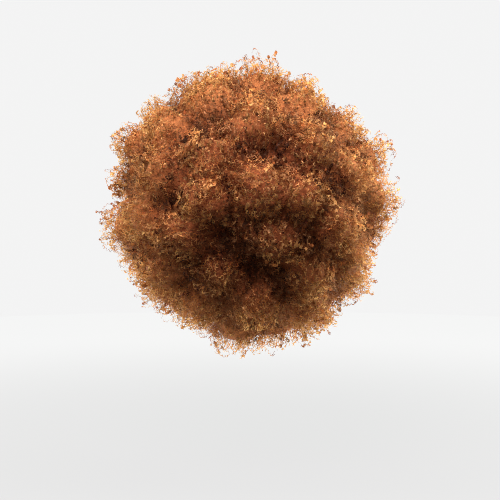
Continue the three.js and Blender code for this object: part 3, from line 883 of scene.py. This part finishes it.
# Painted shade: each curl's colour darkens toward its root, deep in the puff, and its last stretch is lighter
# and paler, a painted highlight.
colour_and_painted_deep_shade = node(copper_curls, "ValToRGB")
colour_and_painted_deep_shade.color_ramp.elements[0].position = 0.12
colour_and_painted_deep_shade.color_ramp.elements[0].color = (0.21, 0.041, 0.018, 1.0)
colour_and_painted_deep_shade.color_ramp.elements[1].position = 1.0
colour_and_painted_deep_shade.color_ramp.elements[1].color = (0.70, 0.30, 0.135, 1.0)
colour_and_painted_deep_shade.color_ramp.elements.new(0.84).color = (0.64, 0.240, 0.095, 1.0)
colour_and_painted_deep_shade.color_ramp.elements.new(0.55).color = (0.53, 0.146, 0.050, 1.0)
# Each curl's tone, with its painted rim light and painted shade, read from the map, scales the colour.
tone_and_painted_light_ramp = node(copper_curls, "ValToRGB")
tone_and_painted_light_ramp.color_ramp.elements[0].color = (0.085, 0.066, 0.105, 1.0)
tone_and_painted_light_ramp.color_ramp.elements[1].color = (1.45, 1.65, 1.48, 1.0)
tone_and_painted_light_ramp.color_ramp.elements.new(0.5).color = (0.80, 0.76, 0.79, 1.0)
tinted = node(copper_curls, "Mix", data_type="RGBA", blend_type="MULTIPLY", Factor=1.0)
join(copper_curls, curl_map.outputs["UV"], map_split.inputs[0])
join(copper_curls, map_split.outputs["Y"], colour_and_painted_deep_shade.inputs["Fac"])
join(copper_curls, map_split.outputs["X"], tone_and_painted_light_ramp.inputs["Fac"])
join(copper_curls, colour_and_painted_deep_shade.outputs["Color"], tinted.inputs["A"])
join(copper_curls, tone_and_painted_light_ramp.outputs["Color"], tinted.inputs["B"])
join(copper_curls, tinted.outputs["Result"], curl_shader.inputs["Base Color"])
crowd_map = node(copper_curls, "Attribute", attribute_name="crowd_way")
crowd_outward = node(copper_curls, "VectorTransform", vector_type="NORMAL")
crowd_outward.convert_from, crowd_outward.convert_to = "OBJECT", "WORLD"
crowd_inward = node(copper_curls, "VectorMath", operation="SCALE", Scale=-1.0)
shone_through = node(copper_curls, "BsdfTranslucent")
join(copper_curls, crowd_map.outputs["Vector"], crowd_outward.inputs[0])
join(copper_curls, crowd_outward.outputs["Vector"], crowd_inward.inputs[0])
join(copper_curls, crowd_outward.outputs["Vector"], curl_shader.inputs["Normal"])
join(copper_curls, crowd_inward.outputs["Vector"], shone_through.inputs["Normal"])
both_ways = node(copper_curls, "MixShader", Fac=SHONE_THROUGH)
golden = node(copper_curls, "Mix", data_type="RGBA", blend_type="MULTIPLY", Factor=1.0)
golden.inputs["B"].default_value = SHONE_TINT
join(copper_curls, tinted.outputs["Result"], golden.inputs["A"])
join(copper_curls, golden.outputs["Result"], shone_through.inputs["Color"])
join(copper_curls, curl_shader.outputs[0], both_ways.inputs[1])
join(copper_curls, shone_through.outputs[0], both_ways.inputs[2])
join(copper_curls, both_ways.outputs[0], copper_curls.node_tree.nodes["Material Output"].inputs["Surface"])


def strip_object(name, strips, tones_and_painted_light):
    """One mesh of narrow zigzag strips: each next point stands on the strip's other edge."""
    count, steps = strips.shape[0], strips.shape[1]
    corner = np.arange(count * steps).reshape(count, steps)
    triangles = np.stack([corner[:, :-2], corner[:, 1:-1], corner[:, 2:]], axis=-1)
    triangles[:, 1::2] = triangles[:, 1::2, ::-1]
    edge = np.where(np.arange(steps) % 2, 0.012, -0.012)
    # The map's u carries each curl's tone with its painted light and painted shade.
    u = np.clip(tones_and_painted_light[:, None] + edge[None], 0.0, 1.0)
    v = np.linspace(0.01, 0.99, steps)[None]
    uv = np.stack(np.broadcast_arrays(u, v), axis=-1)
    return array_object(name, strips.reshape(-1, 3), triangles.reshape(-1, 3), uv.reshape(-1, 2))


quarter = ((spin + 45) % 360 // 90).astype(int)
sector = np.where(lean < FRONT_SECTOR, 0, np.where(lean > BACK_SECTOR, 5, 1 + quarter))
for k, name in enumerate(CURL_SECTORS):
    own = sector == k
    curls = strip_object("curls_" + name, strip[own], tone_and_painted_light[own])
    crowd = curls.data.attributes.new("crowd_way", "FLOAT_VECTOR", "POINT")
    crowd_rows = np.repeat(crowd_way[own], CURL_STEPS + 1, axis=0).astype(np.float32)
    crowd.data.foreach_set("vector", crowd_rows.ravel())
    curls.data.materials.append(copper_curls)
    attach(curls, "root")
